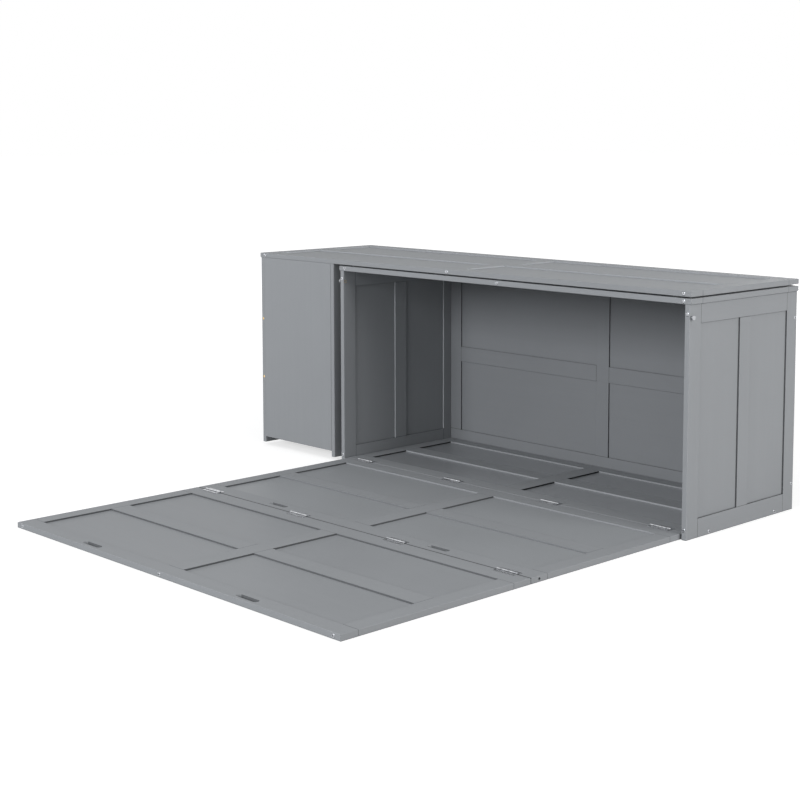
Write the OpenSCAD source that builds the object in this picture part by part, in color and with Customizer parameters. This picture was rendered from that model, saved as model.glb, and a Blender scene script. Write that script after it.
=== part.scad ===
// Cube wall bed: a low cabinet that holds a bed deck in three hinged sections,
// under a long desk top that turns on a pivot and carries its own pedestal.
// Shown as it stands when the bed is unfolded. Origin: middle of the cabinet's
// footprint on the floor. +X is to the right seen from the front, +Y to the wall.

/* [Framed boards] */
// Thickness of every board
board_t = 18; // [16:1:22]
// Thickness of the infill panels
panel_t = 8; // [6:1:9]
// Depth of the groove that holds a panel
groove_d = 8; // [6:0.5:10]
// Room left at the bottom of a groove
groove_fit = 0.5; // [0.3:0.1:1]
// Width of an outer stile or rail
frame_w = 58; // [52:1:66]
// Width of the middle stiles and rails of decks and tops
mid_w = 70; // [60:1:80]
// Width of a deck rail that carries hinges
hinge_rail_w = 68; // [62:1:76]
// Chamfer on the outer edges
edge_ease = 1.2; // [0.6:0.1:2]

/* [Cabinet] */
// Outer width over the sides
cab_w = 1606; // [1500:1:1700]
// Outer depth
cab_d = 588; // [570:1:640]
// Height of the sides and back
side_h = 730; // [700:1:780]
// Width of the top and bottom rails of the sides
side_rail_w = 60; // [54:1:68]
// How far both tops stand past the sides
top_overhang = 5; // [3:0.5:8]
// How far past the side's stiles the screws of the cabinet's top lie
top_screw_in = 46; // [40:1:60]
// Gap between the cabinet's top and the desk top
top_gap = 5; // [4.5:0.5:7]

/* [Bed deck] */
// Gap between the moving sections and each side
side_gap = 6; // [5:0.5:8]
// Gap between two sections at a hinge line
seam_gap = 2; // [1.5:0.5:3]
// Gap over the raised section, under the cabinet's top
head_gap = 6; // [6:0.5:8]
// How much shorter than the middle section the front section is
front_short = 3; // [3:1:10]
// Length of a hand slot
slot_l = 88; // [80:1:100]
// Width of a hand slot
slot_w = 20; // [18:1:24]
// Distance of the front section's hand slots from its front edge
front_slot_in = 23; // [20:1:28]
// Distance of the middle section's hand slots from its front edge
middle_slot_in = 34; // [30:1:38]

/* [Hinges] */
// Length of a hinge
hinge_l = 80; // [70:1:100]
// Width of one leaf, from the pin's axis
leaf_w = 17; // [15:1:20]
// Thickness of a leaf
leaf_t = 1.5; // [1.2:0.1:2]
// Radius of a knuckle
knuckle_r = 3; // [2.8:0.1:3.5]
// Radius of a hinge pin
hinge_pin_r = 1.5; // [1.2:0.1:1.8]
// Distance of the inner hinges from the middle
hinge_inner_x = 230; // [200:1:260]
// Distance of the outer hinges from the middle
hinge_outer_x = 690; // [650:1:700]
// Radius of a hinge screw's shank
hinge_screw_r = 1.5; // [1.2:0.1:1.8]
// Length of a hinge screw
hinge_screw_l = 13; // [10:1:14]

/* [Desk] */
// Outer width of the pedestal
pedestal_w = 437; // [400:1:480]
// Gap between the pedestal and the cabinet
pedestal_gap = 39.5; // [39:0.5:44]
// Height of the pedestal's sides over the floor
pedestal_lift = 12; // [10:1:16]
// Height of the pedestal's front and bottom over the floor
apron_lift = 34; // [28:1:40]
// Height of the lower shelf's middle
low_shelf_z = 276; // [240:1:300]
// Height of the upper shelf's middle
high_shelf_z = 509; // [470:1:540]
// How far the shelves stop short of the back
shelf_setback = 14; // [8:1:30]
// Height of the rail across the pedestal's open back
back_rail_h = 60; // [50:1:80]
// Radius of the pivot pin
pivot_r = 8; // [6:0.5:10]
// Radius of the pivot's flange
pivot_flange_r = 28; // [22:1:32]
// How deep the pivot pin stands in the desk top
pivot_in = 12; // [8:1:14]
// Distance of the level boards' screws from the pedestal's front and back
level_screw_in = 94; // [70:1:120]
// Radius of a bearing pad
pad_r = 15; // [10:1:20]
// How far past the end stiles the bearing pads lie
pad_in = 10; // [0:1:40]
// Radius of a floor glide
glide_r = 18; // [14:1:22]

/* [Bolts] */
// Radius of a bolt's shank
bolt_r = 3; // [2.5:0.5:3.5]
// Radius of a bolt's head
bolt_head_r = 6.5; // [5.5:0.5:7.5]
// Thickness of a bolt's head
bolt_head_t = 2; // [1.5:0.1:2.5]
// How far a visible head stands out
head_proud = 1; // [0.5:0.1:1.2]
// How far a hidden head lies under the surface
head_sunk = 0.5; // [0.3:0.1:1]
// How far past a rail the bolts lie that join the sides to the other boards
join_in = 30; // [26:1:36]
// How far a barrel nut lies from the joint
barrel_in = 13; // [12:0.5:14]
// Radius of a barrel nut
barrel_r = 5; // [4:0.5:6]
// Length of a barrel nut
barrel_l = 14; // [12:0.5:14.5]
// Radius of a wood screw
screw_r = 2.5; // [2:0.1:3]
// Length of a wood screw
screw_l = 58; // [50:1:64]

/* [Locks] */
// Distance of the lock screws below the top of the sides
lock_drop = 40; // [36:1:70]
// Radius of a lock screw's pin
lock_r = 3.5; // [3:0.1:4]
// How far a lock screw turns in
lock_travel = 5.5; // [5:0.5:8]
// How far a drawn lock screw shows inside
lock_tip = 4; // [1:0.5:4.5]
// Radius of a lock screw's knob
lock_knob_r = 7.5; // [6:0.5:8]
// Thickness of the knob
lock_knob_t = 5.5; // [4:0.5:7]
// Radius of a brass insert
insert_r = 6; // [5.5:0.5:6.5]
// Length of a brass insert, from the side's inner face
insert_l = 13; // [10:1:15]

/* [Hidden] */

$fn = 48;
cut = 1;             // how far a cutter runs past what it cuts
fit = 0.05;          // radial room of a pin in its bore
hole_room = 0.25;    // radial room of a bolt in its hole
hole_run = 2;        // how far a bolt's or screw's hole runs past its end
stop_in = 10;        // a groove stops this far from a long rail's end
screw_row = [-0.35, 0, 0.35];    // hinge screws, as shares of the hinge's length
screw_y = 11;        // hinge screws, from the pin's axis
countersink = 1.6;   // how much wider a countersunk head is than its shank
knuckle_gap = 0.4;   // gap between two knuckles
knuckles = 5;
wide_bays = 2;       // bays of panels along a deck, a top and the back
side_bays = 1;       // and up a side

grey = [0.57, 0.58, 0.59];
dark_grey = [0.52, 0.53, 0.54];
zinc = [0.80, 0.80, 0.80];
brass = [0.72, 0.58, 0.32];
nylon = [0.24, 0.24, 0.25];
beech = [0.80, 0.68, 0.50];

// Cabinet
in_x = cab_w / 2 - board_t;              // inner face of a side
front_y = -cab_d / 2;
back_y = cab_d / 2;
back_in_y = back_y - board_t;            // inner face of the back
top_z = side_h + board_t;                // upper face of the cabinet's top
desk_z = top_z + top_gap;                // lower face of the desk top

// Deck sections: the raised section's outer face is flush with the cabinet's front
axis_z = board_t + knuckle_r;
rear_axis_y = front_y + axis_z;
middle_far = side_h - head_gap - axis_z;              // from the rear axis to its far edge
middle_l = middle_far - seam_gap / 2;
front_axis_y = rear_axis_y - middle_far - seam_gap / 2;
front_l = middle_l - front_short;
deck_w = 2 * (in_x - side_gap);
middle_y = rear_axis_y - middle_far;                  // front edge of the middle section
front_edge_y = front_axis_y - seam_gap / 2 - front_l;
rear_y = rear_axis_y + seam_gap / 2;                  // front edge of the rear section
lock_z = side_h - lock_drop;
lock_y = front_y + board_t / 2;
lock_hole_y = rear_axis_y - (lock_z - axis_z);        // the same place on the lowered section

// Desk and pedestal
desk_right = cab_w / 2 + top_overhang;
ped_right = -cab_w / 2 - pedestal_gap;
ped_left = ped_right - pedestal_w;
desk_left = ped_left - top_overhang;
pivot_x = desk_right - cab_d / 2;        // a quarter turn leaves the desk's end flush
ped_in_left = ped_left + board_t;
ped_in_right = ped_right - board_t;
ped_in_w = ped_in_right - ped_in_left;
shelf_zs = [low_shelf_z, high_shelf_z];
shelf_back_y = back_y - shelf_setback;

// A framed board lies flat: its long rails run along x, one at y = 0 and one at y = width,
// with cross stiles between them, short middle rails between those, and panels in grooves.
// [length, width, rail at y = 0, rail at the far side, outer stile, middle stile, middle
//  rail, bays along x]
rear_board = [2 * in_x, back_in_y - rear_y, hinge_rail_w, frame_w, frame_w, mid_w, mid_w, wide_bays];
middle_board = [deck_w, middle_l, hinge_rail_w, hinge_rail_w, frame_w, mid_w, mid_w, wide_bays];
front_board = [deck_w, front_l, frame_w, hinge_rail_w, frame_w, mid_w, mid_w, wide_bays];
top_board = [cab_w + 2 * top_overhang, cab_d, frame_w, frame_w, frame_w, mid_w, mid_w, wide_bays];
desk_board = [desk_right - desk_left, cab_d, frame_w, frame_w, frame_w, mid_w, mid_w, wide_bays];
back_board = [2 * in_x, side_h, frame_w, frame_w, frame_w, frame_w, frame_w, wide_bays];
side_board = [side_h, cab_d, frame_w, frame_w, side_rail_w, side_rail_w, frame_w, side_bays];

function b_len(b) = b[0];
function b_wid(b) = b[1];
function b_low(b) = b[2];
function b_high(b) = b[3];
function b_rail(b) = b[6];
function b_bays(b) = b[7];
function stile_w(b, i) = i == 0 || i == b_bays(b) ? b[4] : b[5];
function stile_x(b, i) =
    i == 0 ? 0 : i == b_bays(b) ? b_len(b) - b[4] : (b_len(b) - b[5]) / 2;
function bay_x0(b, i) = stile_x(b, i) + stile_w(b, i);
function bay_x1(b, i) = stile_x(b, i + 1);
function far_y(b) = b_wid(b) - b_high(b);
function rail_y(b) = (b_low(b) + far_y(b) - b_rail(b)) / 2;
groove_z = (board_t - panel_t) / 2;
tongue = groove_d - groove_fit;

// Where each board stands
module at_rear() { translate([-in_x, rear_y, 0]) children(); }
module at_middle() { translate([-deck_w / 2, middle_y, 0]) children(); }
module at_front() { translate([-deck_w / 2, front_edge_y, 0]) children(); }
module at_top() { translate([-desk_right, front_y, side_h]) children(); }
module at_desk() { translate([desk_left, front_y, desk_z]) children(); }
module at_back() { translate([-in_x, back_y, 0]) rotate([90, 0, 0]) children(); }
module at_left() { translate([-cab_w / 2, front_y, side_h]) rotate([0, 90, 0]) children(); }
module at_right() { translate([in_x, front_y, side_h]) rotate([0, 90, 0]) children(); }

// Outline of a bar's end, eased on the side at 0, the side at w, or both
module bar_outline(w, low_side, high_side) {
    e = edge_ease;
    polygon(concat(
        low_side ? [[0, e], [e, 0]] : [[0, 0]],
        high_side ? [[w - e, 0], [w, e]] : [[w, 0]],
        high_side ? [[w, board_t - e], [w - e, board_t]] : [[w, board_t]],
        low_side ? [[e, board_t], [0, board_t - e]] : [[0, board_t]]));
}

// Bar along x, w wide in y, with its long edges eased as asked
module bar_x(l, w, low_side, high_side) {
    rotate([90, 0, 90]) linear_extrude(l) bar_outline(w, low_side, high_side);
}

// Bar along y, w wide in x
module bar_y(l, w, low_side, high_side) {
    translate([0, l, 0]) rotate([90, 0, 0]) linear_extrude(l) bar_outline(w, low_side, high_side);
}

// Plain board in x and y, eased all round
module plain_board(l, w) {
    intersection() {
        bar_x(l, w, true, true);
        bar_y(w, l, true, true);
    }
}

// Hole for a bolt that enters along +y at the origin, with a seat for its head
module bolt_hole(l, proud) {
    rotate([-90, 0, 0]) {
        cylinder(h = l, r = bolt_r + hole_room);
        translate([0, 0, -cut]) cylinder(h = cut + bolt_head_t - proud, r = bolt_head_r + hole_room);
    }
}

// Bolt that enters along +y at the origin, with a hexagon socket in its head
module bolt(l, proud) {
    rotate([-90, 0, 0]) difference() {
        union() {
            translate([0, 0, -proud]) cylinder(h = bolt_head_t, r = bolt_head_r);
            cylinder(h = l, r = bolt_r);
        }
        translate([0, 0, -proud - cut]) cylinder(h = cut + bolt_head_t * 0.7, r = bolt_r * 0.75, $fn = 6);
    }
}

// Blind hole for a barrel nut, from the face at z = 0
module barrel_hole() {
    translate([0, 0, -cut])
        cylinder(h = cut + board_t / 2 + barrel_l / 2, r = barrel_r + fit);
}

// Barrel nut that stands at the origin and is drilled along y
module barrel_nut() {
    difference() {
        translate([0, 0, -barrel_l / 2]) cylinder(h = barrel_l, r = barrel_r);
        rotate([90, 0, 0]) cylinder(h = 2 * barrel_r + 2 * cut, r = bolt_r + fit, center = true);
    }
}

// Both places of a board's bolts over each stile: children at y = 0 and at the far edge
module over_stiles(b) {
    for (i = [0 : b_bays(b)])
        translate([stile_x(b, i) + stile_w(b, i) / 2, 0, board_t / 2]) {
            children(0);
            translate([0, b_wid(b), 0]) mirror([0, 1, 0]) children(1);
        }
}

// The two long rails of a framed board
module long_rails(b, low_proud, high_proud) {
    l = b_len(b);
    difference() {
        union() {
            intersection() {
                bar_x(l, b_low(b), true, false);
                bar_y(b_low(b), l, true, true);
            }
            translate([0, far_y(b), 0]) intersection() {
                bar_x(l, b_high(b), false, true);
                bar_y(b_high(b), l, true, true);
            }
        }
        for (y = [b_low(b) - groove_d, far_y(b) - cut])
            translate([stop_in, y, groove_z]) cube([l - 2 * stop_in, groove_d + cut, panel_t]);
        over_stiles(b) {
            bolt_hole(b_low(b) + cut, low_proud);
            bolt_hole(b_high(b) + cut, high_proud);
        }
    }
}

// The short rails between the stiles
module middle_rails(b) {
    w = b_rail(b);
    for (i = [0 : b_bays(b) - 1]) {
        l = bay_x1(b, i) - bay_x0(b, i);
        translate([bay_x0(b, i), rail_y(b), 0]) {
            difference() {
                cube([l, w, board_t]);
                for (y = [-cut, w - groove_d])
                    translate([-cut, y, groove_z]) cube([l + 2 * cut, groove_d + cut, panel_t]);
            }
            translate([-tongue, groove_d, groove_z])
                cube([l + 2 * tongue, w - 2 * groove_d, panel_t]);
        }
    }
}

// The cross stiles, with a tongue at each end that stands in the long rails' grooves
module cross_stiles(b) {
    l = far_y(b) - b_low(b);
    last = b_bays(b);
    difference() {
        for (i = [0 : last]) {
            w = stile_w(b, i);
            x0 = i == 0 ? stop_in : groove_d;
            x1 = i == last ? w - stop_in : w - groove_d;
            translate([stile_x(b, i), b_low(b), 0]) {
                difference() {
                    bar_y(l, w, i == 0, i == last);
                    if (i > 0) translate([-cut, -cut, groove_z])
                        cube([groove_d + cut, l + 2 * cut, panel_t]);
                    if (i < last) translate([w - groove_d, -cut, groove_z])
                        cube([groove_d + cut, l + 2 * cut, panel_t]);
                }
                translate([x0, -tongue, groove_z]) cube([x1 - x0, l + 2 * tongue, panel_t]);
            }
        }
        over_stiles(b) {
            stile_end_holes(b_low(b));
            stile_end_holes(b_high(b));
        }
    }
}

// Bolt hole and barrel hole at a stile's end, past a rail that is w wide
module stile_end_holes(w) {
    translate([0, w - groove_d, 0]) rotate([-90, 0, 0])
        cylinder(h = groove_d + barrel_in + barrel_r + hole_run, r = bolt_r + hole_room);
    translate([0, w + barrel_in, -board_t / 2]) barrel_hole();
}

// The infill panels, set in the grooves all round
module infill(b) {
    rows = [[b_low(b), rail_y(b)], [rail_y(b) + b_rail(b), far_y(b)]];
    for (i = [0 : b_bays(b) - 1], r = rows)
        translate([bay_x0(b, i) - tongue, r[0] - tongue, groove_z])
            cube([bay_x1(b, i) - bay_x0(b, i) + 2 * tongue, r[1] - r[0] + 2 * tongue, panel_t]);
}

// The bolts and barrel nuts of a framed board
module board_bolts(b, low_proud, high_proud) {
    over_stiles(b) {
        bolt(b_low(b) + barrel_in + barrel_r, low_proud);
        bolt(b_high(b) + barrel_in + barrel_r, high_proud);
    }
}
module board_barrels(b) {
    over_stiles(b) {
        translate([0, b_low(b) + barrel_in, 0]) barrel_nut();
        translate([0, b_high(b) + barrel_in, 0]) barrel_nut();
    }
}

// Bolts that join the sides to the rear section and to the back
join_deck_ys = [rear_y + hinge_rail_w + join_in, back_in_y - frame_w - join_in];
join_back_zs = [frame_w + join_in, side_h - frame_w - join_in];
join_l = board_t + barrel_in + barrel_r;
module joins() {
    for (s = [-1, 1]) mirror([s < 0 ? 1 : 0, 0, 0]) {
        for (y = join_deck_ys) translate([cab_w / 2, y, board_t / 2]) rotate([0, 0, 90]) children(0);
        for (z = join_back_zs) translate([cab_w / 2, back_y - board_t / 2, z])
            rotate([0, 0, 90]) rotate([0, -90, 0]) children(1);
    }
}
module join_holes() {
    joins() {
        bolt_hole(join_l + cut, head_proud);
        bolt_hole(join_l + cut, head_proud);
    }
}
module join_barrel_holes() {
    joins() {
        translate([0, board_t + barrel_in, -board_t / 2]) barrel_hole();
        translate([0, board_t + barrel_in, -board_t / 2]) barrel_hole();
    }
}

// Screws down through the cabinet's top into the sides
top_screw_ys = [-1, 1] * (cab_d / 2 - frame_w - top_screw_in);
module over_top_screws() {
    for (x = [-1, 1] * (cab_w - board_t) / 2, y = top_screw_ys)
        translate([x, y, top_z]) rotate([-90, 0, 0]) children();
}
module screw_hole(l) {
    rotate([-90, 0, 0]) {
        cylinder(h = l + hole_run, r = screw_r + fit);
        translate([0, 0, -cut])
            cylinder(h = cut + bolt_head_t + head_sunk, r = 2 * screw_r + hole_room);
    }
}
module screw(l) {
    rotate([-90, 0, 0]) {
        translate([0, 0, head_sunk]) cylinder(h = bolt_head_t, r = 2 * screw_r);
        translate([0, 0, head_sunk]) cylinder(h = l, r = screw_r);
    }
}

// Locks: a threaded pin through a brass insert in each side's front stile. Each lock is
// drawn with its z axis pointing out of the cabinet, from the side's inner face.
lock_room = 0.5;     // radial room of the pin in the raised section's hole
mouth = 1.5;         // the insert's bore opens this much, and as deep, on the inside
knob_neck = 2;       // height of the knob's conical underside
knob_ease = 1;       // its rounded rim
dents = 12;          // finger dents round the knob
dent_r = 1;
dent_out = 0.4;      // a dent's centre lies this far outside the rim
module locks() {
    for (s = [0, 1]) mirror([s, 0, 0]) translate([in_x, lock_y, lock_z]) rotate([0, 90, 0]) children();
}
module lock_holes() {
    locks() {
        translate([0, 0, -cut]) cylinder(h = cut + insert_l, r = insert_r + fit);
        cylinder(h = board_t + cut, r = lock_r + hole_room);
    }
}
module lock_screw() {
    knob_x = board_t + lock_travel;
    translate([in_x, lock_y, lock_z]) rotate([0, 90, 0]) {
        translate([0, 0, -lock_tip + lock_r / 2]) cylinder(h = lock_tip + knob_x, r = lock_r);
        translate([0, 0, -lock_tip]) cylinder(h = lock_r / 2, r1 = lock_r / 2, r2 = lock_r);
        translate([0, 0, knob_x]) difference() {
            rotate_extrude() polygon([[0, 0], [lock_knob_r * 0.6, 0], [lock_knob_r, knob_neck],
                [lock_knob_r, lock_knob_t - knob_ease], [lock_knob_r - knob_ease, lock_knob_t],
                [0, lock_knob_t]]);
            for (i = [1 : dents]) rotate([0, 0, i * 360 / dents])
                translate([lock_knob_r + dent_out, 0, -cut])
                    cylinder(h = lock_knob_t + 2 * cut, r = dent_r, $fn = 16);
        }
    }
}

// Hand slots through the front rails of the two moving sections
slot_x = (deck_w / 2 - frame_w + mid_w / 2) / 2;      // the middle of a panel
module hand_slots(y) {
    for (s = [-1, 1]) translate([s * slot_x, y, -cut]) linear_extrude(board_t + 2 * cut) {
        square([slot_l - slot_w, slot_w], center = true);
        for (e = [-1, 1]) translate([e * (slot_l - slot_w) / 2, 0]) circle(r = slot_w / 2);
    }
}

// Hinges, in the frame of one hinge: the pin lies on x, leaves reach to +y and -y
hinge_xs = [-hinge_outer_x, -hinge_inner_x, hinge_inner_x, hinge_outer_x];
knuckle_l = hinge_l / knuckles;
module hinges(y) { for (x = hinge_xs) translate([x, y, axis_z]) children(); }
module leaf(first) {
    difference() {
        union() {
            translate([-hinge_l / 2, knuckle_r + knuckle_gap, -knuckle_r])
                cube([hinge_l, leaf_w - knuckle_r - knuckle_gap, leaf_t]);
            for (i = [first : 2 : knuckles - 1])
                translate([i * knuckle_l - hinge_l / 2 + knuckle_gap / 2, 0, 0]) {
                    rotate([0, 90, 0]) cylinder(h = knuckle_l - knuckle_gap, r = knuckle_r);
                    translate([0, 0, -knuckle_r])
                        cube([knuckle_l - knuckle_gap, leaf_w / 2, leaf_t]);
                }
        }
        translate([-hinge_l, 0, 0]) rotate([0, 90, 0]) cylinder(h = 2 * hinge_l, r = hinge_pin_r + fit);
        leaf_screws() countersunk(fit, cut);
    }
}
module leaf_screws() {
    for (s = screw_row) translate([s * hinge_l, screw_y, leaf_t - knuckle_r]) children();
}
// Countersunk screw that points down from the origin, larger by room all round
module countersunk(room, over) {
    translate([0, 0, -leaf_t])
        cylinder(h = leaf_t + (room > 0 ? fit : 0), r1 = hinge_screw_r + room,
            r2 = hinge_screw_r + countersink + room);
    translate([0, 0, -hinge_screw_l]) cylinder(h = hinge_screw_l - leaf_t + fit, r = hinge_screw_r + room);
    if (room > 0) cylinder(h = over, r = hinge_screw_r + countersink + room);
}
module far_side() { mirror([0, 1, 0]) children(); }
module screw_holes_toward_back(y) { hinges(y) leaf_screws() countersunk(fit, cut); }
module screw_holes_toward_front(y) { hinges(y) far_side() leaf_screws() countersunk(fit, cut); }

// Pivot of the desk
flange_room = 0.2;   // gap between the two flanges
bush_flange_t = (top_gap - flange_room) / 2;
pin_flange_t = (top_gap - flange_room) / 2;
bush_wall = 3;
bush_r = pivot_r + bush_wall;
nut_t = pivot_r * 1.4;
washer_t = 2;
nut_gap = 0.3;
pin_past = 2;        // how far the pin stands past its nut
pin_end_z = side_h - nut_gap - washer_t - nut_t - pin_past;
module at_pivot(z) { translate([pivot_x, 0, z]) children(); }

// Pads between the two tops, over the cabinet's stiles
pad_room = 0.3;      // gap between a pad and the desk top
pad_t = top_gap - pad_room;
pad_xs = [-1, 0, 1] * (desk_right - frame_w - pad_in);
pad_y = back_y - frame_w / 2;
module pads() { for (x = pad_xs, y = [-pad_y, pad_y]) translate([x, y, top_z]) children(); }

// Dowels between the pedestal's sides and the desk top's rails
dowel_r = 4;
dowel_up = 10;
dowel_down = 20;
dowel_y = back_y - frame_w / 2;
module dowels(room) {
    for (x = [ped_left + board_t / 2, ped_right - board_t / 2], y = [-dowel_y, dowel_y])
        translate([x, y, desk_z - dowel_down - room])
            cylinder(h = dowel_down + dowel_up + 2 * room, r = dowel_r + room);
}

// Floor glides under the pedestal's bottom: a foot, a neck and a plate
glide_ease = 2;
glide_t = 6;
glide_plate_t = 4;
glide_neck_r = glide_r * 0.5;
glide_plate_r = glide_r * 0.8;

// Screws through the pedestal's sides into its level boards
level_ys = [-1, 1] * (cab_d / 2 - level_screw_in);
module level_screws() {
    for (z = concat([apron_lift + board_t / 2], shelf_zs), y = level_ys) {
        translate([ped_left, y, z]) rotate([0, 0, -90]) children();
        translate([ped_right, y, z]) rotate([0, 0, 90]) children();
    }
}
edge_screw_l = 34;
module edge_screws() {
    for (z = shelf_zs) translate([ped_left + board_t / 2, front_y, z]) children();
}

// Upright board of the pedestal, l high and w deep
module upright(l, w) { translate([0, 0, l]) rotate([0, 90, 0]) plain_board(l, w); }
// Level board between the pedestal's sides
module level_board(w) { bar_x(ped_in_w, w, true, true); }

module left_side_stiles() {
    color(grey) difference() {
        at_left() { long_rails(side_board, head_proud, -head_sunk); middle_rails(side_board); }
        join_holes();
        lock_holes();
    }
}
module left_side_rails() {
    color(grey) difference() {
        at_left() cross_stiles(side_board);
        join_holes();
        over_top_screws() screw_hole(screw_l);
    }
}
module left_side_panels() { color(dark_grey) at_left() infill(side_board); }
module right_side_stiles() {
    color(grey) difference() {
        at_right() { long_rails(side_board, head_proud, -head_sunk); middle_rails(side_board); }
        join_holes();
        lock_holes();
    }
}
module right_side_rails() {
    color(grey) difference() {
        at_right() cross_stiles(side_board);
        join_holes();
        over_top_screws() screw_hole(screw_l);
    }
}
module right_side_panels() { color(dark_grey) at_right() infill(side_board); }

module back_rails() {
    color(grey) at_back() { long_rails(back_board, -head_sunk, -head_sunk); middle_rails(back_board); }
}
module back_stiles() {
    color(grey) difference() {
        at_back() cross_stiles(back_board);
        join_holes();
        join_barrel_holes();
    }
}
module back_panels() { color(dark_grey) at_back() infill(back_board); }

module top_frame_rails() {
    color(grey) difference() {
        at_top() { long_rails(top_board, head_proud, -head_sunk); middle_rails(top_board); }
        at_pivot(side_h - cut) cylinder(h = board_t + 2 * cut, r = bush_r + fit);
    }
}
module top_frame_stiles() {
    color(grey) difference() {
        at_top() cross_stiles(top_board);
        over_top_screws() screw_hole(screw_l);
    }
}
module top_frame_panels() { color(dark_grey) at_top() infill(top_board); }

module rear_deck_rails() {
    color(grey) difference() {
        at_rear() { long_rails(rear_board, -head_sunk, -head_sunk); middle_rails(rear_board); }
        screw_holes_toward_back(rear_axis_y);
    }
}
module rear_deck_stiles() {
    color(grey) difference() {
        at_rear() cross_stiles(rear_board);
        join_holes();
        join_barrel_holes();
    }
}
module rear_deck_panels() { color(dark_grey) at_rear() infill(rear_board); }

module middle_deck_rails() {
    color(grey) difference() {
        at_middle() { long_rails(middle_board, -head_sunk, -head_sunk); middle_rails(middle_board); }
        hand_slots(middle_y + middle_slot_in);
        screw_holes_toward_front(rear_axis_y);
        screw_holes_toward_back(front_axis_y);
        for (s = [-1, 1]) translate([s * deck_w / 2, lock_hole_y, board_t / 2]) rotate([0, 90, 0])
            cylinder(h = 2 * (lock_travel + lock_tip), r = lock_r + lock_room, center = true);
    }
}
module middle_deck_stiles() { color(grey) at_middle() cross_stiles(middle_board); }
module middle_deck_panels() { color(dark_grey) at_middle() infill(middle_board); }

module front_deck_rails() {
    color(grey) difference() {
        at_front() { long_rails(front_board, head_proud, -head_sunk); middle_rails(front_board); }
        hand_slots(front_edge_y + front_slot_in);
        screw_holes_toward_front(front_axis_y);
    }
}
module front_deck_stiles() { color(grey) at_front() cross_stiles(front_board); }
module front_deck_panels() { color(dark_grey) at_front() infill(front_board); }

module desk_rails() {
    color(grey) difference() {
        at_desk() { long_rails(desk_board, head_proud, -head_sunk); middle_rails(desk_board); }
        at_pivot(desk_z - cut) cylinder(h = pivot_in + cut, r = pivot_r + fit);
        dowels(fit);
    }
}
module desk_stiles() { color(grey) at_desk() cross_stiles(desk_board); }
module desk_panels() { color(dark_grey) at_desk() infill(desk_board); }

module pedestal_left_side() {
    color(grey) difference() {
        translate([ped_left, front_y, pedestal_lift]) upright(desk_z - pedestal_lift, cab_d);
        level_screws() screw_hole(screw_l);
        edge_screws() screw_hole(edge_screw_l);
        dowels(fit);
    }
}
module pedestal_right_side() {
    color(grey) difference() {
        translate([ped_in_right, front_y, pedestal_lift]) upright(desk_z - pedestal_lift, cab_d);
        level_screws() screw_hole(screw_l);
        dowels(fit);
    }
}
module pedestal_front() {
    color(grey) translate([ped_in_left, front_y + board_t, apron_lift]) rotate([90, 0, 0])
        level_board(desk_z - apron_lift);
}
module pedestal_bottom() {
    color(grey) difference() {
        translate([ped_in_left, front_y + board_t, apron_lift])
            level_board(shelf_back_y - front_y - board_t);
        level_screws() screw_hole(screw_l);
    }
}
module pedestal_shelves() {
    color(grey) difference() {
        for (z = shelf_zs) translate([ped_in_left, front_y + board_t, z - board_t / 2])
            level_board(shelf_back_y - front_y - board_t);
        level_screws() screw_hole(screw_l);
    }
}
module pedestal_back_rail() {
    color(grey) translate([ped_in_left, back_y, desk_z - back_rail_h]) rotate([90, 0, 0])
        level_board(back_rail_h);
}
module pedestal_glides() {
    xs = [ped_in_left + 2 * glide_r, ped_in_right - 2 * glide_r];
    color(nylon) for (x = xs, y = [front_y + cab_d / 3, back_y - cab_d / 8])
        translate([x, y, 0]) rotate_extrude() polygon([[0, 0], [glide_r - glide_ease, 0],
            [glide_r, glide_ease], [glide_r, glide_t], [glide_neck_r, 2 * glide_t],
            [glide_neck_r, apron_lift - glide_plate_t], [glide_plate_r, apron_lift - glide_plate_t],
            [glide_plate_r, apron_lift], [0, apron_lift]]);
}
module pedestal_screws() { color(zinc) level_screws() screw(screw_l); }
module pedestal_edge_screws() { color(brass) edge_screws() screw(edge_screw_l); }
module pedestal_dowels() { color(beech) dowels(0); }

module rear_hinge_fixed_leaves() { color(zinc) hinges(rear_axis_y) leaf(0); }
module rear_hinge_moving_leaves() { color(zinc) hinges(rear_axis_y) far_side() leaf(1); }
module front_hinge_fixed_leaves() { color(zinc) hinges(front_axis_y) leaf(0); }
module front_hinge_moving_leaves() { color(zinc) hinges(front_axis_y) far_side() leaf(1); }
module hinge_pin() {
    translate([-hinge_l / 2, 0, 0]) rotate([0, 90, 0]) cylinder(h = hinge_l, r = hinge_pin_r);
}
module rear_hinge_pins() { color(zinc) hinges(rear_axis_y) hinge_pin(); }
module front_hinge_pins() { color(zinc) hinges(front_axis_y) hinge_pin(); }
module rear_deck_hinge_screws() { color(zinc) hinges(rear_axis_y) leaf_screws() countersunk(0, 0); }
module middle_deck_hinge_screws() {
    color(zinc) {
        hinges(rear_axis_y) far_side() leaf_screws() countersunk(0, 0);
        hinges(front_axis_y) leaf_screws() countersunk(0, 0);
    }
}
module front_deck_hinge_screws() {
    color(zinc) hinges(front_axis_y) far_side() leaf_screws() countersunk(0, 0);
}

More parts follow.
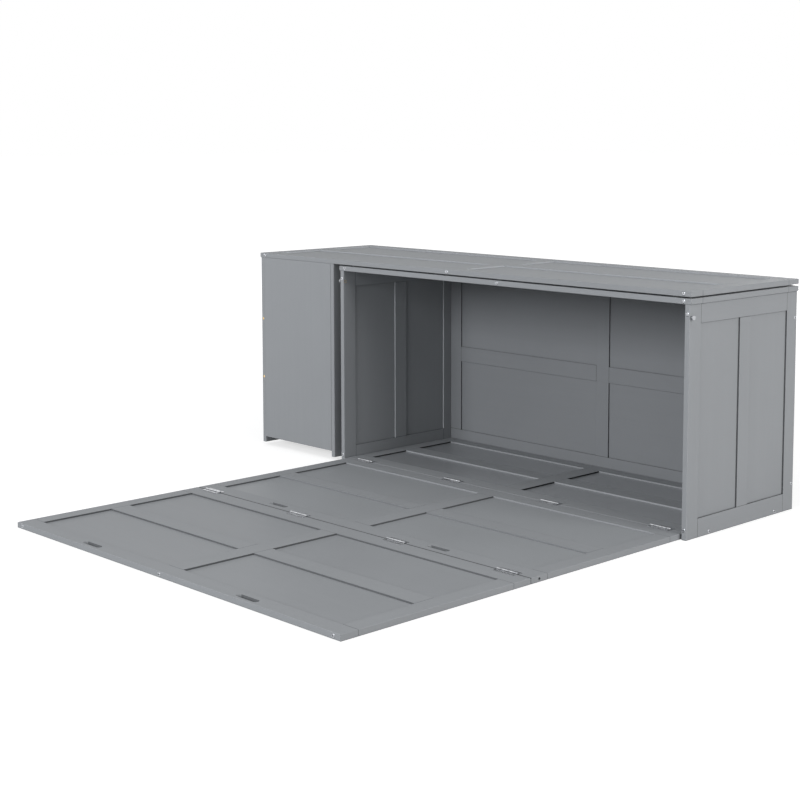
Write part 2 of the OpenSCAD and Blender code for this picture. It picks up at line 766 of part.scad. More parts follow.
module cabinet_bolts() {
    color(zinc) {
        at_left() board_bolts(side_board, head_proud, -head_sunk);
        at_right() board_bolts(side_board, head_proud, -head_sunk);
        at_back() board_bolts(back_board, -head_sunk, -head_sunk);
        at_top() board_bolts(top_board, head_proud, -head_sunk);
        at_rear() board_bolts(rear_board, -head_sunk, -head_sunk);
    }
}
module cabinet_barrel_nuts() {
    color(zinc) {
        at_left() board_barrels(side_board);
        at_right() board_barrels(side_board);
        at_back() board_barrels(back_board);
        at_top() board_barrels(top_board);
        at_rear() board_barrels(rear_board);
        joins() {
            translate([0, board_t + barrel_in, 0]) barrel_nut();
            translate([0, board_t + barrel_in, 0]) barrel_nut();
        }
    }
}
module joining_bolts() {
    color(zinc) joins() {
        bolt(join_l, head_proud);
        bolt(join_l, head_proud);
    }
}
module top_screws() { color(zinc) over_top_screws() screw(screw_l); }
module middle_deck_bolts() { color(zinc) at_middle() board_bolts(middle_board, -head_sunk, -head_sunk); }
module middle_deck_barrel_nuts() { color(zinc) at_middle() board_barrels(middle_board); }
module front_deck_bolts() { color(zinc) at_front() board_bolts(front_board, head_proud, -head_sunk); }
module front_deck_barrel_nuts() { color(zinc) at_front() board_barrels(front_board); }
module desk_bolts() { color(zinc) at_desk() board_bolts(desk_board, head_proud, -head_sunk); }
module desk_barrel_nuts() { color(zinc) at_desk() board_barrels(desk_board); }

module lock_inserts() {
    color(brass) locks() difference() {
        cylinder(h = insert_l, r = insert_r);
        translate([0, 0, -cut]) cylinder(h = insert_l + 2 * cut, r = lock_r + fit);
        cylinder(h = mouth, r1 = lock_r + fit + mouth, r2 = lock_r + fit);
    }
}
module right_lock_screw() { color(zinc) lock_screw(); }
module left_lock_screw() { color(zinc) mirror([1, 0, 0]) lock_screw(); }

module pivot_bush() {
    color(nylon) difference() {
        union() {
            at_pivot(side_h) cylinder(h = board_t, r = bush_r);
            at_pivot(top_z) cylinder(h = bush_flange_t, r = pivot_flange_r);
        }
        at_pivot(side_h - cut) cylinder(h = board_t + top_gap + 2 * cut, r = pivot_r + fit);
    }
}
module pivot_pin() {
    color(zinc) {
        at_pivot(pin_end_z) cylinder(h = desk_z + pivot_in - pin_end_z, r = pivot_r);
        at_pivot(desk_z - pin_flange_t) cylinder(h = pin_flange_t, r = pivot_flange_r);
    }
}
module pivot_nut() {
    color(zinc) difference() {
        union() {
            at_pivot(side_h - nut_gap - washer_t) cylinder(h = washer_t, r = 2 * pivot_r);
            at_pivot(side_h - nut_gap - washer_t - nut_t)
                cylinder(h = nut_t, r = pivot_r * 1.73, $fn = 6);
        }
        at_pivot(pin_end_z - cut) cylinder(h = board_t + nut_t, r = pivot_r + fit);
    }
}
module bearing_pads() { color(nylon) pads() cylinder(h = pad_t, r = pad_r); }

left_side_stiles();
left_side_rails();
left_side_panels();
right_side_stiles();
right_side_rails();
right_side_panels();
back_rails();
back_stiles();
back_panels();
top_frame_rails();
top_frame_stiles();
top_frame_panels();
rear_deck_rails();
rear_deck_stiles();
rear_deck_panels();
middle_deck_rails();
middle_deck_stiles();
middle_deck_panels();
front_deck_rails();
front_deck_stiles();
front_deck_panels();
desk_rails();
desk_stiles();
desk_panels();
pedestal_left_side();
pedestal_right_side();
pedestal_front();
pedestal_bottom();
pedestal_shelves();
pedestal_back_rail();
pedestal_glides();
pedestal_screws();
pedestal_edge_screws();
pedestal_dowels();
rear_hinge_fixed_leaves();
rear_hinge_moving_leaves();
rear_hinge_pins();
front_hinge_fixed_leaves();
front_hinge_moving_leaves();
front_hinge_pins();
rear_deck_hinge_screws();
middle_deck_hinge_screws();
front_deck_hinge_screws();
cabinet_bolts();
cabinet_barrel_nuts();
joining_bolts();
top_screws();
middle_deck_bolts();
middle_deck_barrel_nuts();
front_deck_bolts();
front_deck_barrel_nuts();
desk_bolts();
desk_barrel_nuts();
lock_inserts();
left_lock_screw();
right_lock_screw();
pivot_bush();
pivot_pin();
pivot_nut();
bearing_pads();
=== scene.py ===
import math

import bmesh
import bpy
from mathutils import Matrix, Vector


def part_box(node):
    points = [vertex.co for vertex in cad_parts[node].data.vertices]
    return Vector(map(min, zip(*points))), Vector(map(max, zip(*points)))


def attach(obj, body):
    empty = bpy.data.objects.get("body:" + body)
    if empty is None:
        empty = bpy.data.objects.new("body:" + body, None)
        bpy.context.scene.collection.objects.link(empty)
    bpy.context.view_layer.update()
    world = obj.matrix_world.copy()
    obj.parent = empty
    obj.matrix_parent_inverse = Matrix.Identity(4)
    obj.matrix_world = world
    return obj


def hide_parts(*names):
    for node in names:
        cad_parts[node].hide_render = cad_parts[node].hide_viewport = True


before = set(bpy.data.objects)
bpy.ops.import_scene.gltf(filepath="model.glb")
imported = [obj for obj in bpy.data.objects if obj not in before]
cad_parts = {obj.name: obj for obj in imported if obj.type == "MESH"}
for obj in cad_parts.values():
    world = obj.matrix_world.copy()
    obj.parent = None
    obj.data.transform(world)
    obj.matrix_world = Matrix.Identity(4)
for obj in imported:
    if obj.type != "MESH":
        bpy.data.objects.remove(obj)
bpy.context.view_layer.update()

MM = 0.001
AXES = "XYZ"
NOISE_RANGE = (0.3, 0.7)           # where nearly all of a noise's values lie

# The grey satin paint, in linear colour
GREY = (0.278, 0.289, 0.303)
DECK_LIT_GREY = (0.287, 0.299, 0.313)  # the middle section's panels, lighter by painted light
BACK_SHADED_GREY = (0.234, 0.243, 0.256)  # the back's boards, darker by painted shade
PAINT_ROUGH, PAINT_GLOSS = 0.58, 0.10
BEECH_COLOUR, BEECH_ROUGH = (0.58, 0.40, 0.22), 0.55
# How dark the painted shade in tight corners gets, 1 for none; the right side's panels get a
# deeper painted shadow under their rails
PLAIN_CORNER_SHADE, DESK_CORNER_SHADE, BOARD_CORNER_SHADE, RIGHT_PANEL_CORNER_SHADE = 0.72, 1.0, 0.8, 0.6

# Joints of the painted members
TONGUE = 7.5 * MM                  # a member's tongue reaches this far into a groove
JOINT_HALF, JOINT_FADE, JOINT_TONE = 0.8 * MM, 2.2 * MM, 0.36
# Painted shade at the front hinge seam: its half width, where it has faded, and its depth
SEAM_HALF, SEAM_FADE, SEAM_SHADE_DEPTH = 1.4 * MM, 3.0 * MM, 0.62
WALL_IN = 4 * MM                   # recess walls start this far inside their board's edge
OUTER_IN = 20 * MM                 # members further in than this are middle members

# Each framed board: its members' node names, the axis that its long members run along, the axis
# across them, and the painted light and shade on the recess walls of its long and its cross
# members.
BOARDS = (
    ("left_side", "stiles", "rails", "Z", "Y", (1.60, 1.60), (0.42, 0.42)),
    ("right_side", "stiles", "rails", "Z", "Y", (0.42, 0.42), (0.45, 0.45)),
    ("back", "rails", "stiles", "X", "Z", (0.70, 0.70), (0.34, 0.34)),
    ("top_frame", "rails", "stiles", "X", "Y", (0.75, 0.75), (0.60, 0.60)),
    ("rear_deck", "rails", "stiles", "X", "Y", (1.35, 1.20), (0.12, 0.12)),
    ("middle_deck", "rails", "stiles", "X", "Y", (0.55, 1.25), (0.36, 0.36)),
    ("front_deck", "rails", "stiles", "X", "Y", (0.55, 0.55), (0.36, 0.36)),
    ("desk", "rails", "stiles", "X", "Y", (1.35, 1.25), (1.50, 1.50)),
)
# The edge of a section that lies at the front seam, 0 its lower and 1 its upper limit
SEAM_EDGES = {"middle_deck": 0, "front_deck": 1}
# Specular level and roughness of the deck's panels
PANEL_GLOSS = {"rear_deck": (0.50, 0.20), "middle_deck": (0.06, 0.40), "front_deck": (0.03, 0.40)}
# The same grey paint, lightened or darkened per board as painted light and shade
PANEL_BASE = {"back": BACK_SHADED_GREY, "middle_deck": DECK_LIT_GREY}

# Nodes by finish, where the name's end doesn't tell it
UPRIGHT_BOARDS = ("pedestal_left_side", "pedestal_right_side", "pedestal_front")
LOCK_SCREWS = ("left_lock_screw", "right_lock_screw")
BRASS_NODES = ("lock_inserts", "pedestal_edge_screws")
NYLON_NODES = ("pivot_bush", "bearing_pads", "pedestal_glides")
METAL_ENDS = ("_pins", "_bolts", "_nuts", "hinge_screws", "pivot_pin", "pivot_nut", "top_screws",
              "pedestal_screws")

# Stage, light and camera
FLOOR_HALF, FLOOR_DROP, FLOOR_GREY = 60, 0.5 * MM, 0.55
FLOOR_LIFT_NEAR, FLOOR_LIFT_FAR = (2.2, 0.62), (5.5, 0.90)  # distance and glow
AMBIENT, SEEN_WHITE = 0.33, 1.0
# Name, place, aim, size, power, colour
LAMPS = (
    ("key_front", (0.0, -9.3, 3.6), (-0.1, -0.4, 0.2), (5.4, 3.2), 545, (0.97, 0.985, 1.0)),
    ("fill_right", (6.3, 0.2, 2.4), (0.8, -0.2, 0.3), (3.2, 2.4), 235, (1.0, 0.995, 0.985)),
    ("fill_left", (-6.8, -1.7, 1.4), (-1.2, 0.1, 0.4), (2.6, 2.0), 105, (1, 1, 1)),
    ("fill_back", (-1.6, 7.6, 1.5), (-0.2, 0.3, 0.4), (4.4, 2.2), 225, (1, 1, 1)),
    ("top_soft", (0.9, -2.0, 4.4), (0.2, -1.2, 0.0), (4.2, 3.6), 34, (1, 1, 1)),
)
WIDTH = 800                        # the photo's side in pixels
F_PX, CX, CY = 1565.132, 430.0, 290.0
SENSOR = 36.0
CAMERA_PLACE = (3.6173, -4.1410, 1.2588)
CAMERA_DOWN, CAMERA_YAW = 5.874, 45.676


# ---------------------------------------------------------------- CAD members
def members(name):
    """Point lists of the solids of a CAD node, found by joining points at the same place."""
    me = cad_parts[name].data
    parent = list(range(len(me.vertices)))

    def root(a):
        while parent[a] != a:
            parent[a] = parent[parent[a]]
            a = parent[a]
        return a

    for e in me.edges:
        parent[root(e.vertices[0])] = root(e.vertices[1])
    seen = {}
    for i, v in enumerate(me.vertices):
        key = tuple(round(c, 5) for c in v.co)
        if key in seen:
            parent[root(i)] = root(seen[key])
        else:
            seen[key] = i
    groups = {}
    for i, v in enumerate(me.vertices):
        groups.setdefault(root(i), []).append(v.co.copy())

    def middle(points):
        return tuple(round(c, 4) for c in sum(points, Vector()) / len(points))
    return sorted(groups.values(), key=middle)


def corners(points):
    """Lowest and highest corner of a list of points."""
    lo = Vector([min(p[k] for p in points) for k in range(3)])
    hi = Vector([max(p[k] for p in points) for k in range(3)])
    return lo, hi


# ---------------------------------------------------------------- shader helpers
def new_material(name):
    """A material with one Principled shader, its node tree and that shader."""
    m = bpy.data.materials.new(name)
    m.use_nodes = True
    t = m.node_tree
    t.nodes.clear()
    out = t.nodes.new("ShaderNodeOutputMaterial")
    b = t.nodes.new("ShaderNodeBsdfPrincipled")
    t.links.new(b.outputs[0], out.inputs[0])
    return m, t, b


def node(t, kind, inputs=None, **settings):
    """A new node with its settings and the fixed values of its inputs."""
    n = t.nodes.new(kind)
    for k, v in settings.items():
        setattr(n, k, v)
    for k, v in (inputs or {}).items():
        n.inputs[k].default_value = v
    return n


def mapped(t, scale):
    """Object coordinates, stretched by scale."""
    c = node(t, "ShaderNodeTexCoord")
    m = node(t, "ShaderNodeMapping", {"Scale": scale})
    t.links.new(c.outputs["Object"], m.inputs["Vector"])
    return m.outputs[0]


def evenly(t):
    return mapped(t, (1, 1, 1))


def noise(t, vector, scale, detail=4.0, rough=0.55, distortion=0.0):
    n = node(t, "ShaderNodeTexNoise", {"Scale": scale, "Detail": detail, "Roughness": rough,
                                       "Distortion": distortion})
    t.links.new(vector, n.inputs["Vector"])
    return n.outputs["Fac"]


def span(t, value, low, high, a=0.0, b=1.0):
    """Carries low..high over to a..b, held at the ends."""
    n = node(t, "ShaderNodeMapRange",
             {"From Min": low, "From Max": high, "To Min": a, "To Max": b})
    t.links.new(value, n.inputs["Value"])
    return n.outputs["Result"]


def spread(t, value, a, b):
    """A noise carried over to a..b."""
    return span(t, value, *NOISE_RANGE, a, b)


def calc(t, op, a, b=0.0):
    n = node(t, "ShaderNodeMath", operation=op)
    for i, v in enumerate((a, b)):
        if isinstance(v, (int, float)):
            n.inputs[i].default_value = v
        else:
            t.links.new(v, n.inputs[i])
    return n.outputs[0]


def product(t, *factors):
    out = factors[0]
    for f in factors[1:]:
        out = calc(t, "MULTIPLY", out, f)
    return out


def shade(t, colour, factor):
    """A colour, a value or a socket, times a factor."""
    n = node(t, "ShaderNodeMix", {0: 1.0}, data_type="RGBA", blend_type="MULTIPLY")
    if isinstance(colour, tuple):
        n.inputs[6].default_value = (*colour, 1)
    else:
        t.links.new(colour, n.inputs[6])
    g = node(t, "ShaderNodeCombineColor")
    for i in range(3):
        t.links.new(factor, g.inputs[i])
    t.links.new(g.outputs[0], n.inputs[7])
    return n.outputs[2]


def edge_mask(t, radius):
    """The rounded normal, and 1 on an outer or inner edge, 0 on a flat face."""
    bev = node(t, "ShaderNodeBevel", {"Radius": radius}, samples=6)
    geo = node(t, "ShaderNodeNewGeometry")
    dot = node(t, "ShaderNodeVectorMath", operation="DOT_PRODUCT")
    t.links.new(bev.outputs[0], dot.inputs[0])
    t.links.new(geo.outputs["Normal"], dot.inputs[1])
    return bev.outputs[0], span(t, dot.outputs["Value"], 0.999, 0.80)


def painted_corner_shade(t, reach, darkest, gap=0.34):
    """Painted shade: below 1 in a tight corner, and times gap in a slit."""
    ao = node(t, "ShaderNodeAmbientOcclusion", {"Distance": reach}, samples=8)
    return product(t, span(t, ao.outputs["AO"], 0.40, 0.95, darkest, 1.0),
                   span(t, ao.outputs["AO"], 0.04, 0.36, gap, 1.0))


def along(t, axis, source="Object"):
    """One object coordinate, or one part of the object's own normal."""
    c = node(t, "ShaderNodeTexCoord")
    s = node(t, "ShaderNodeSeparateXYZ")
    t.links.new(c.outputs[source], s.inputs[0])
    return s.outputs[AXES.index(axis)]


def faces_along(t, axis, least):
    """1 on the faces that look along an axis."""
    return calc(t, "GREATER_THAN", calc(t, "ABSOLUTE", along(t, axis, "Normal")), least)


def between(t, value, low, high):
    return product(t, calc(t, "GREATER_THAN", value, low), calc(t, "LESS_THAN", value, high))


def away_from(t, axis, place):
    return calc(t, "ABSOLUTE", calc(t, "SUBTRACT", along(t, axis), place))


def bumped(t, b, height, strength, distance, normal):
    """Lets a height roughen the shader's normal."""
    bump = node(t, "ShaderNodeBump", {"Strength": strength, "Distance": distance})
    t.links.new(height, bump.inputs["Height"])
    t.links.new(normal, bump.inputs["Normal"])
    t.links.new(bump.outputs[0], b.inputs["Normal"])


def painted_wall_shading(t, axis, low, high, tone):
    """Painted light and shade on the faces that look along axis inside low..high, 1 elsewhere:
    the lit or shaded sides of a frame's members, down to the panels. It changes from end to end."""
    side = faces_along(t, axis, 0.85)
    place = along(t, axis)
    inside = between(t, place, low + WALL_IN, high - WALL_IN)
    change = span(t, place, low, high, tone[0] - 1, tone[1] - 1)
    return calc(t, "ADD", 1.0, product(t, side, inside, change))


def joint_line(t, axis, place, limit=None):
    """The fine line where two members meet, at one coordinate, inside a limit on another."""
    line = span(t, away_from(t, axis, place), JOINT_HALF, JOINT_FADE, JOINT_TONE, 1.0)
    if limit is None:
        return line
    inside = between(t, along(t, limit[0]), limit[1], limit[2])
    return calc(t, "MAXIMUM", line, calc(t, "SUBTRACT", 1.0, inside))


def painted_seam_shade(t, axis, place):
    """Painted shade along the rounded edge of a board's top where two sections meet."""
    near = span(t, away_from(t, axis, place), SEAM_HALF, SEAM_FADE, SEAM_SHADE_DEPTH, 0.0)
    return calc(t, "SUBTRACT", 1.0, product(t, faces_along(t, "Z", 0.5), near))


# ---------------------------------------------------------------- finishes
def grain_scale(grain_axis, across, lengthwise):
    return tuple(lengthwise if a == grain_axis else across for a in AXES)


def paint(name, grain_axis, base=GREY, rough=PAINT_ROUGH, grain=1.0, extra=(), corner_shade=PLAIN_CORNER_SHADE,
          gloss=PAINT_GLOSS):
    """Satin paint over wood, with painted shade in its tight corners. extra holds functions that
    each give one more tone factor: joint lines, and painted light and shade on recess walls and
    at the seam.
    """
    m, t, b = new_material(name)
    wide = noise(t, mapped(t, grain_scale(grain_axis, 38.0, 1.6)), 1.0, 5.0, 0.6, 0.35)
    pores = noise(t, mapped(t, grain_scale(grain_axis, 170.0, 4.5)), 1.0, 3.0, 0.65)
    cloud = noise(t, evenly(t), 2.4, 3.0, 0.5)
    speck = noise(t, evenly(t), 900.0, 2.0, 0.5)
    soft, edge = edge_mask(t, 0.8 * MM)
    # Lighter edges: partly wear, partly a painted highlight along the arrises
    wear_and_highlight = calc(t, "MULTIPLY", edge, span(t, cloud, 0.42, 0.62, 0.35, 1.0))
    tone = product(
        t,
        spread(t, cloud, 0.972, 1.022),
        spread(t, wide, 1 - 0.016 * grain, 1 + 0.013 * grain),
        span(t, pores, 0.60, 0.72, 1.0, 1 - 0.035 * grain),
        span(t, wear_and_highlight, 0, 1, 1.0, 1.10),
        # painted shade in the tight corners
        painted_corner_shade(t, 5 * MM, corner_shade),
        *[f(t) for f in extra])
    t.links.new(shade(t, base, tone), b.inputs["Base Color"])
    uneven = calc(t, "ADD", spread(t, cloud, rough - 0.04, rough + 0.04),
                  spread(t, speck, -0.03, 0.03))
    t.links.new(uneven, b.inputs["Roughness"])
    height = calc(t, "ADD", product(t, wide, 0.5 * grain), product(t, pores, 0.35 * grain))
    height = calc(t, "ADD", height, product(t, speck, 0.12))
    bumped(t, b, height, 0.16, 0.3 * MM, soft)
    b.inputs["IOR"].default_value = 1.45
    b.inputs["Specular IOR Level"].default_value = gloss
    return m


def metal(name, base, rough, tint, spot=1.0, corner_shade=0.22):
    """Plated metal with fine brushing, stains, painted shade in its recesses and brighter worn
    edges.
    """
    m, t, b = new_material(name)
    stain = noise(t, evenly(t), 55.0, 4.0, 0.6)
    brush = noise(t, mapped(t, (60, 900, 900)), 1.0, 2.0, 0.5)
    grit = noise(t, evenly(t), 2600.0, 2.0, 0.5)
    mixed = node(t, "ShaderNodeMix", {6: (*base, 1), 7: (*tint, 1)}, data_type="RGBA")
    t.links.new(span(t, stain, 0.45, 0.75, 0.0, 0.6 * spot), mixed.inputs[0])
    soft, edge = edge_mask(t, 0.4 * MM)
    tone = product(t, span(t, edge, 0, 1, 1.0, 1.12),
                   # painted shade in sockets, slits and where the metal meets the board
                   painted_corner_shade(t, 2.2 * MM, corner_shade, min(1.0, corner_shade + 0.12)))
    t.links.new(shade(t, mixed.outputs[2], tone), b.inputs["Base Color"])
    uneven = calc(t, "ADD", spread(t, stain, rough - 0.05, rough + 0.08),
                  spread(t, brush, -0.05, 0.05))
    t.links.new(uneven, b.inputs["Roughness"])
    b.inputs["Metallic"].default_value = 1.0
    bumped(t, b, calc(t, "ADD", brush, grit), 0.25, 0.12 * MM, soft)
    return m


def nylon(name, base, rough):
    """Dark moulded nylon with a fine grit and paler edges."""
    m, t, b = new_material(name)
    grit = noise(t, evenly(t), 1500.0, 3.0, 0.6)
    cloud = noise(t, evenly(t), 40.0, 3.0, 0.5)
    soft, edge = edge_mask(t, 0.6 * MM)
    tone = product(t, spread(t, cloud, 0.9, 1.1), span(t, edge, 0, 1, 1.0, 1.35))
    t.links.new(shade(t, base, tone), b.inputs["Base Color"])
    t.links.new(spread(t, grit, rough - 0.06, rough + 0.08), b.inputs["Roughness"])
    bumped(t, b, grit, 0.3, 0.1 * MM, soft)
    return m


ZINC = metal("zinc", (0.40, 0.41, 0.43), 0.26, (0.26, 0.27, 0.30))
LEAF = metal("hinge_plate", (0.60, 0.61, 0.63), 0.30, (0.22, 0.23, 0.25), spot=1.5)
KNOB = metal("knob", (0.42, 0.43, 0.45), 0.42, (0.28, 0.285, 0.30))
BRASS = metal("brass", (0.92, 0.70, 0.36), 0.28, (0.66, 0.46, 0.20), corner_shade=0.80)
NYLON = nylon("nylon", (0.045, 0.045, 0.048), 0.45)
BEECH = paint("beech", "Z", base=BEECH_COLOUR, rough=BEECH_ROUGH, grain=2.0)
PLAIN = {a: paint("paint_" + a.lower(), a) for a in AXES}


# ---------------------------------------------------------------- materials of the CAD nodes
def board_paints(board, long_name, cross_name, run, across, long_wall_light, cross_wall_light):
    """The paints of a framed board's long members, cross members and panels, by node name."""
    ri, ai = AXES.index(run), AXES.index(across)
    long_node, cross_node = f"{board}_{long_name}", f"{board}_{cross_name}"
    lo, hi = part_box(long_node)
    lo2, hi2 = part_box(cross_node)
    lines = []
    for a, b in map(corners, members(long_node)):
        if a[ai] > lo[ai] + OUTER_IN and b[ai] < hi[ai] - OUTER_IN:
            # a short middle member ends at the cross members
            limit = (across, a[ai], b[ai])
            for place in (a[ri] + TONGUE, b[ri] - TONGUE):
                lines.append(lambda t, p=place, q=limit: joint_line(t, run, p, q))
    if board in SEAM_EDGES:
        seam = (lo, hi)[SEAM_EDGES[board]][ai]
        lines.append(lambda t: painted_seam_shade(t, across, seam))
    ends = [lambda t, p=p: joint_line(t, across, p) for p in (lo2[ai] + TONGUE, hi2[ai] - TONGUE)]
    corner_shade = DESK_CORNER_SHADE if board == "desk" else BOARD_CORNER_SHADE
    # the back's members carry painted shade in their base colour
    base = BACK_SHADED_GREY if board == "back" else GREY
    gloss, rough = PANEL_GLOSS.get(board, (PAINT_GLOSS, PAINT_ROUGH))
    return {
        long_node: paint(long_node, run, base=base, corner_shade=corner_shade, extra=[
            # painted light and shade on the recess walls
            lambda t: painted_wall_shading(t, across, lo[ai], hi[ai], long_wall_light), *lines]),
        cross_node: paint(cross_node, across, base=base, corner_shade=corner_shade, extra=[
            lambda t: painted_wall_shading(t, run, lo2[ri], hi2[ri], cross_wall_light), *ends]),
        board + "_panels": paint(
            board + "_panels", run, base=PANEL_BASE.get(board, GREY), rough=rough, gloss=gloss,
            grain=1.0 if board == "desk" else 0.6,
            corner_shade=RIGHT_PANEL_CORNER_SHADE if board == "right_side" else corner_shade),
    }


of_node = {"pedestal_dowels": BEECH}
for row in BOARDS:
    of_node.update(board_paints(*row))
for names, finish in ((UPRIGHT_BOARDS, PLAIN["Z"]), (LOCK_SCREWS, KNOB), (BRASS_NODES, BRASS),
                      (NYLON_NODES, NYLON)):
    of_node.update(dict.fromkeys(names, finish))
for name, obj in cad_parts.items():
    if name.endswith("_leaves"):
        finish = LEAF
    else:
        finish = of_node.get(name) or (ZINC if name.endswith(METAL_ENDS) else PLAIN["X"])
    for slot in obj.material_slots:
        slot.material = finish
    if not obj.material_slots:
        obj.data.materials.append(finish)


# ---------------------------------------------------------------- bolts and screws
def hexagon(apothem):
    """Radius of a hexagon by angle, with corners at multiples of 60 degrees."""
    return lambda a: apothem / math.cos((a + math.pi / 6) % (math.pi / 3) - math.pi / 6)


def cross(arm, half):
    """Radius of a cross-shaped recess by angle."""
    def radius(a):
        q = abs((a + math.pi / 4) % (math.pi / 2) - math.pi / 4)
        return min(arm, half / max(math.sin(q), 1e-6))
    return radius


def turned(bm, rings, place, segments, spin):
    """Adds a body whose rings are (radius or radius by angle, depth), closed at both ends."""
    loops = []
    for radius, depth in rings:
        loop = []
        for k in range(segments):
            a = 2 * math.pi * k / segments
            r = radius(a) if callable(radius) else radius
            point = Vector((r * math.cos(a + spin), r * math.sin(a + spin), depth))
            loop.append(bm.verts.new(place @ point))
        loops.append(loop)
    for p, q in zip(loops, loops[1:]):
        for k in range(segments):
            n = (k + 1) % segments
            bm.faces.new((p[k], p[n], q[n], q[k]))
    bm.faces.new(loops[0][::-1])
    bm.faces.new(loops[-1])


# Each of these gives the rings from the recess's floor outwards and down the shank, with the
# head's face at depth 0.
def button_bolt(head_r, head_t, shank_r, length):
    """A low domed bolt with a hexagon socket."""
    return [(hexagon(1.2 * MM), 1.75 * MM), (hexagon(2.45 * MM), 1.45 * MM),
            (hexagon(2.5 * MM), 0.14 * MM), (3.1 * MM, 0.0), (head_r * 0.66, 0.08 * MM),
            (head_r * 0.80, 0.24 * MM), (head_r * 0.91, 0.50 * MM), (head_r * 0.98, 0.85 * MM),
            (head_r, 1.20 * MM), (head_r, head_t), (shank_r, head_t),
            (shank_r, length - 1.0 * MM), (shank_r * 0.7, length)]


def pan_screw(head_r, head_t, shank_r, length):
    """A wood screw with a round head and a cross recess."""
    k = head_r / (5 * MM)
    return [(cross(0.9 * k * MM, 0.3 * k * MM), 1.5 * MM),
            (cross(2.2 * k * MM, 0.50 * k * MM), 0.9 * MM),
            (cross(2.6 * k * MM, 0.60 * k * MM), 0.06 * MM), (head_r * 0.60, 0.0),
            (head_r * 0.80, 0.14 * MM), (head_r * 0.94, 0.45 * MM), (head_r, 0.95 * MM),
            (head_r, head_t), (shank_r, head_t), (shank_r, length - 6 * MM),
            (shank_r * 0.4, length)]


def flat_screw(head_r, head_t, shank_r, length):
    """A countersunk hinge screw with a cross recess."""
    return [(cross(0.6 * MM, 0.22 * MM), 1.05 * MM), (cross(1.5 * MM, 0.34 * MM), 0.75 * MM),
            (cross(1.9 * MM, 0.42 * MM), 0.05 * MM), (head_r * 0.80, 0.0),
            (head_r * 0.97, 0.05 * MM), (head_r, 0.12 * MM), (shank_r, head_t),
            (shank_r, length - 2 * MM), (shank_r * 0.4, length)]


BUTTON = (button_bolt, 6.5 * MM, 2.0 * MM, 3.0 * MM, 24)
PAN = (pan_screw, 5.0 * MM, 2.0 * MM, 2.5 * MM, 32)
FLAT = (flat_screw, 3.1 * MM, 1.5 * MM, 1.5 * MM, 32)
SPIN_STEP = 2.4                    # radians from one fastener's turn to the next
SHARP = math.radians(38)
# Node, body, slot, material, kind
FASTENERS = (
    ("cabinet_bolts", "cabinet", "zinc", ZINC, BUTTON),
    ("joining_bolts", "cabinet", "zinc", ZINC, BUTTON),
    ("middle_deck_bolts", "middle_section", "zinc", ZINC, BUTTON),
    ("front_deck_bolts", "front_section", "zinc", ZINC, BUTTON),
    ("desk_bolts", "desk", "zinc", ZINC, BUTTON),
    ("top_screws", "cabinet", "zinc", ZINC, PAN),
    ("pedestal_screws", "desk", "zinc", ZINC, PAN),
    ("pedestal_edge_screws", "desk", "brass", BRASS, PAN),
    ("rear_deck_hinge_screws", "cabinet", "zinc", ZINC, FLAT),
    ("middle_deck_hinge_screws", "middle_section", "zinc", ZINC, FLAT),
    ("front_deck_hinge_screws", "front_section", "zinc", ZINC, FLAT),
)


def seat(points):
    """The place of a CAD fastener, with +Z from its head's face along its shank, and its
    length. Its head is where its points lie furthest from its axis."""
    lo, hi = corners(points)
    size = hi - lo
    k = max(range(3), key=lambda j: size[j])
    middle = (lo + hi) / 2
    far = [max((p - middle)[j] ** 2 for j in range(3) if j != k) for p in points]
    at_head = [p[k] for p, f in zip(points, far) if f > max(far) * 0.8]
    head_low = sum(at_head) / len(at_head) < middle[k]
    inward = Vector((0, 0, 0))
    inward[k] = 1.0 if head_low else -1.0
    top = middle.copy()
    top[k] = lo[k] if head_low else hi[k]
    turn = inward.to_track_quat("Z", "Y").to_matrix().to_4x4()
    return Matrix.Translation(top) @ turn, size[k]


def fasteners(name, body, slot, material, kind):
    """Bolts or screws in the place of those of a CAD node, each with its own turn."""
    rings, head_r, head_t, shank_r, segments = kind
    bm = bmesh.new()
    for i, points in enumerate(members(name)):
        place, length = seat(points)
        turned(bm, rings(head_r, head_t, shank_r, length), place, segments, i * SPIN_STEP)
    bmesh.ops.recalc_face_normals(bm, faces=bm.faces)
    piece = name + "_turned"
    me = bpy.data.meshes.new(piece)
    bm.to_mesh(me)
    bm.free()
    for p in me.polygons:
        p.use_smooth = True
    me.set_sharp_from_angle(angle=SHARP)
    me.materials.append(material)
    obj = bpy.data.objects.new(piece, me)
    bpy.context.scene.collection.objects.link(obj)
    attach(obj, body)
    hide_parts(name)


for row in FASTENERS:
    fasteners(*row)


# ---------------------------------------------------------------- stage, light, camera
def any_ray(t):
    """1 for camera, glossy and transmission rays, 0 for the light on the object."""
    rays = node(t, "ShaderNodeLightPath").outputs
    out = rays["Is Camera Ray"]
    for name in ("Is Glossy Ray", "Is Transmission Ray"):
        out = calc(t, "MAXIMUM", out, rays[name])
    return out


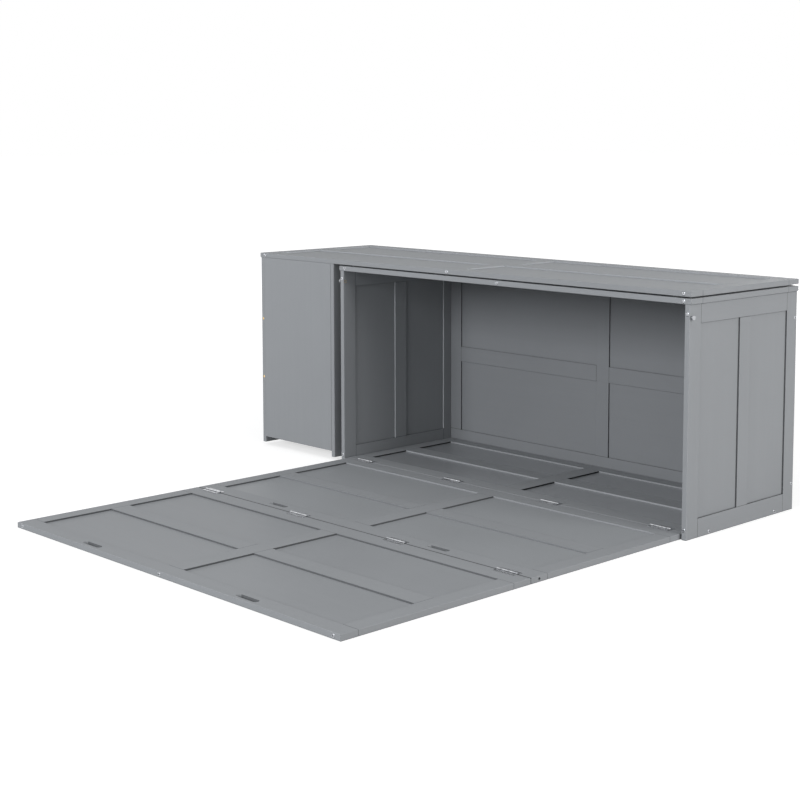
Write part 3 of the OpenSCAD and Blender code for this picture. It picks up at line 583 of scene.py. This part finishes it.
def add_floor():
    """A pale floor that keeps the object's shadow and glows to white further off."""
    me = bpy.data.meshes.new("floor")
    bm = bmesh.new()
    bmesh.ops.create_grid(bm, x_segments=1, y_segments=1, size=FLOOR_HALF)
    bm.to_mesh(me)
    bm.free()
    floor = bpy.data.objects.new("floor", me)
    floor.location = (0, 0, -FLOOR_DROP)
    bpy.context.scene.collection.objects.link(floor)
    m = bpy.data.materials.new("floor_white")
    m.use_nodes = True
    t = m.node_tree
    t.nodes.clear()
    out = node(t, "ShaderNodeOutputMaterial")
    matt = node(t, "ShaderNodeBsdfDiffuse", {"Color": (*[FLOOR_GREY] * 3, 1)})
    glow = node(t, "ShaderNodeEmission", {"Color": (1, 1, 1, 1)})
    coords = node(t, "ShaderNodeTexCoord")
    far_off = node(t, "ShaderNodeVectorMath", operation="LENGTH")
    t.links.new(coords.outputs["Object"], far_off.inputs[0])
    lift = span(t, far_off.outputs["Value"], FLOOR_LIFT_NEAR[0], FLOOR_LIFT_FAR[0],
                FLOOR_LIFT_NEAR[1], FLOOR_LIFT_FAR[1])
    t.links.new(calc(t, "MULTIPLY", any_ray(t), lift), glow.inputs["Strength"])
    both = node(t, "ShaderNodeAddShader")
    t.links.new(matt.outputs[0], both.inputs[0])
    t.links.new(glow.outputs[0], both.inputs[1])
    t.links.new(both.outputs[0], out.inputs[0])
    me.materials.append(m)


def add_world():
    """A dim even light on the object, seen and mirrored as plain white."""
    world = bpy.data.worlds.new("studio")
    bpy.context.scene.world = world
    world.use_nodes = True
    t = world.node_tree
    t.nodes.clear()
    out = node(t, "ShaderNodeOutputWorld")
    mix = node(t, "ShaderNodeMixShader")
    t.links.new(any_ray(t), mix.inputs[0])
    for i, strength in ((1, AMBIENT), (2, SEEN_WHITE)):
        light = node(t, "ShaderNodeBackground", {"Color": (1, 1, 1, 1), "Strength": strength})
        t.links.new(light.outputs[0], mix.inputs[i])
    t.links.new(mix.outputs[0], out.inputs[0])


def add_lamp(name, place, aim, size, power, colour):
    data = bpy.data.lights.new(name, "AREA")
    data.shape = "RECTANGLE"
    data.size, data.size_y = size
    data.energy = power
    data.color = colour
    lamp = bpy.data.objects.new(name, data)
    lamp.location = place
    lamp.rotation_euler = (Vector(aim) - Vector(place)).to_track_quat("-Z", "Y").to_euler()
    bpy.context.scene.collection.objects.link(lamp)


def add_camera():
    """The photo's viewpoint, with its off-centre crop as a shift."""
    data = bpy.data.cameras.new("camera")
    data.sensor_fit = "AUTO"
    data.sensor_width = SENSOR
    data.lens = F_PX * SENSOR / WIDTH
    data.shift_x = (WIDTH / 2 - CX) / WIDTH
    data.shift_y = (CY - WIDTH / 2) / WIDTH
    data.clip_start, data.clip_end = 0.05, 200
    cam = bpy.data.objects.new("camera", data)
    cam.location = CAMERA_PLACE
    cam.rotation_euler = (math.radians(90 - CAMERA_DOWN), 0, math.radians(CAMERA_YAW))
    bpy.context.scene.collection.objects.link(cam)
    bpy.context.scene.camera = cam


add_floor()
add_world()
for row in LAMPS:
    add_lamp(*row)
add_camera()
bpy.context.scene.view_settings.view_transform = "Standard"
